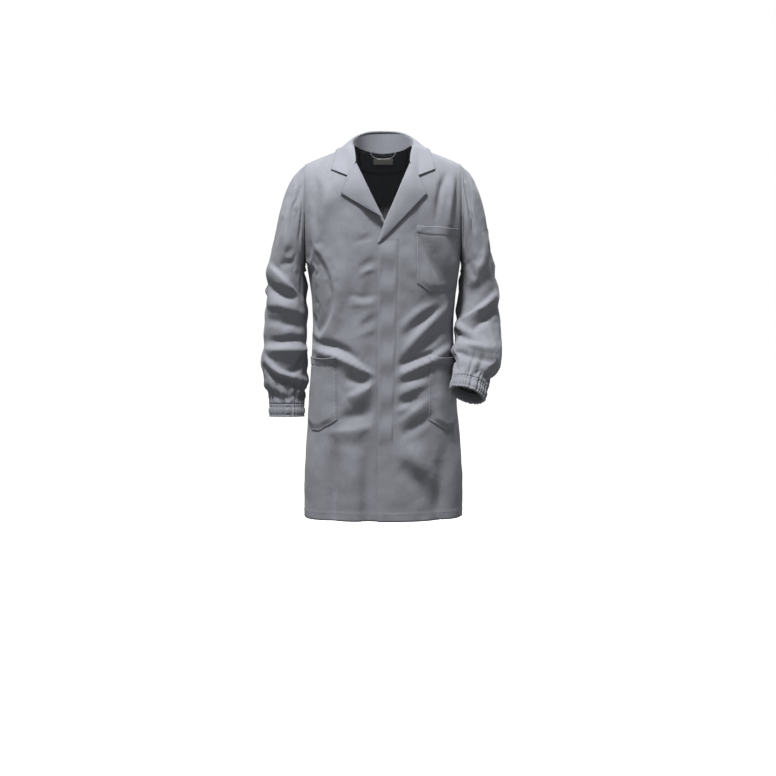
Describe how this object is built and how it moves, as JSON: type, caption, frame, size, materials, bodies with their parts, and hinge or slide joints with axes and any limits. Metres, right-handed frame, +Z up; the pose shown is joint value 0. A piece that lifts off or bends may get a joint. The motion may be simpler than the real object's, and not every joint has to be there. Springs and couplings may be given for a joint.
{
  "type": "lab coat",
  "caption": "Grey cotton-mix lab coat, buttoned: notched lapel collar, hidden button fly, chest and hip patch pockets, long sleeves with elastic cuffs.",
  "frame": {"origin": "between the shoulders, level with the nape, where a hanger or a wearer's shoulders carry the coat", "axes": "+Z up, -Y towards the buttoned front, +X towards the wearer's left"},
  "size_m": [0.6256, 0.3186, 1.0129],
  "materials": {
    "coat_cloth": "matt twill weave",
    "facing_cloth": "matt twill weave, inside of the coat",
    "elastic": "matt braided elastic",
    "label_tape": "satin woven tape, blank",
    "button_resin": "polished resin",
    "sewing_thread": "twisted polyester thread"
  },
  "bodies": {
    "coat_body": {"left_front": "coat_cloth", "right_front": "coat_cloth", "left_back": "coat_cloth", "right_back": "coat_cloth", "left_facing": "facing_cloth", "right_facing": "facing_cloth", "back_neck_facing": "facing_cloth", "collar_stand": "facing_cloth", "collar_fall": "coat_cloth", "left_lapel": "coat_cloth", "right_lapel": "coat_cloth", "buttonhole_strip": "coat_cloth", "chest_pocket": "coat_cloth", "left_hip_pocket": "coat_cloth", "right_hip_pocket": "coat_cloth", "neck_label": "label_tape", "button_1": "button_resin", "button_2": "button_resin", "button_3": "button_resin", "button_4": "button_resin", "button_5": "button_resin", "button_6": "button_resin", "button_thread_1": "sewing_thread", "button_thread_2": "sewing_thread", "button_thread_3": "sewing_thread", "button_thread_4": "sewing_thread", "button_thread_5": "sewing_thread", "button_thread_6": "sewing_thread"},
    "left_arm": {"left_sleeve": "coat_cloth", "left_cuff_casing": "coat_cloth", "left_cuff_elastic": "elastic"},
    "right_arm": {"right_sleeve": "coat_cloth", "right_cuff_casing": "coat_cloth", "right_cuff_elastic": "elastic"},
    "loop": {"hanger_loop": "facing_cloth"}
  },
  "joints": [
    {"name": "left_sleeve_lift", "type": "hinge", "parent": "coat_body", "child": "left_arm", "pos_m": [0.204, 0, -0.046], "axis": [0, -1, 0], "range_deg": [0, 60]},
    {"name": "right_sleeve_lift", "type": "hinge", "parent": "coat_body", "child": "right_arm", "pos_m": [-0.204, 0, -0.046], "axis": [0, 1, 0], "range_deg": [0, 60]},
    {"name": "hanger_loop_swing", "type": "hinge", "parent": "coat_body", "child": "loop", "pos_m": [0, 0.046, -0.0052], "axis": [-1, 0, 0], "range_deg": [0, 150]}
  ]
}
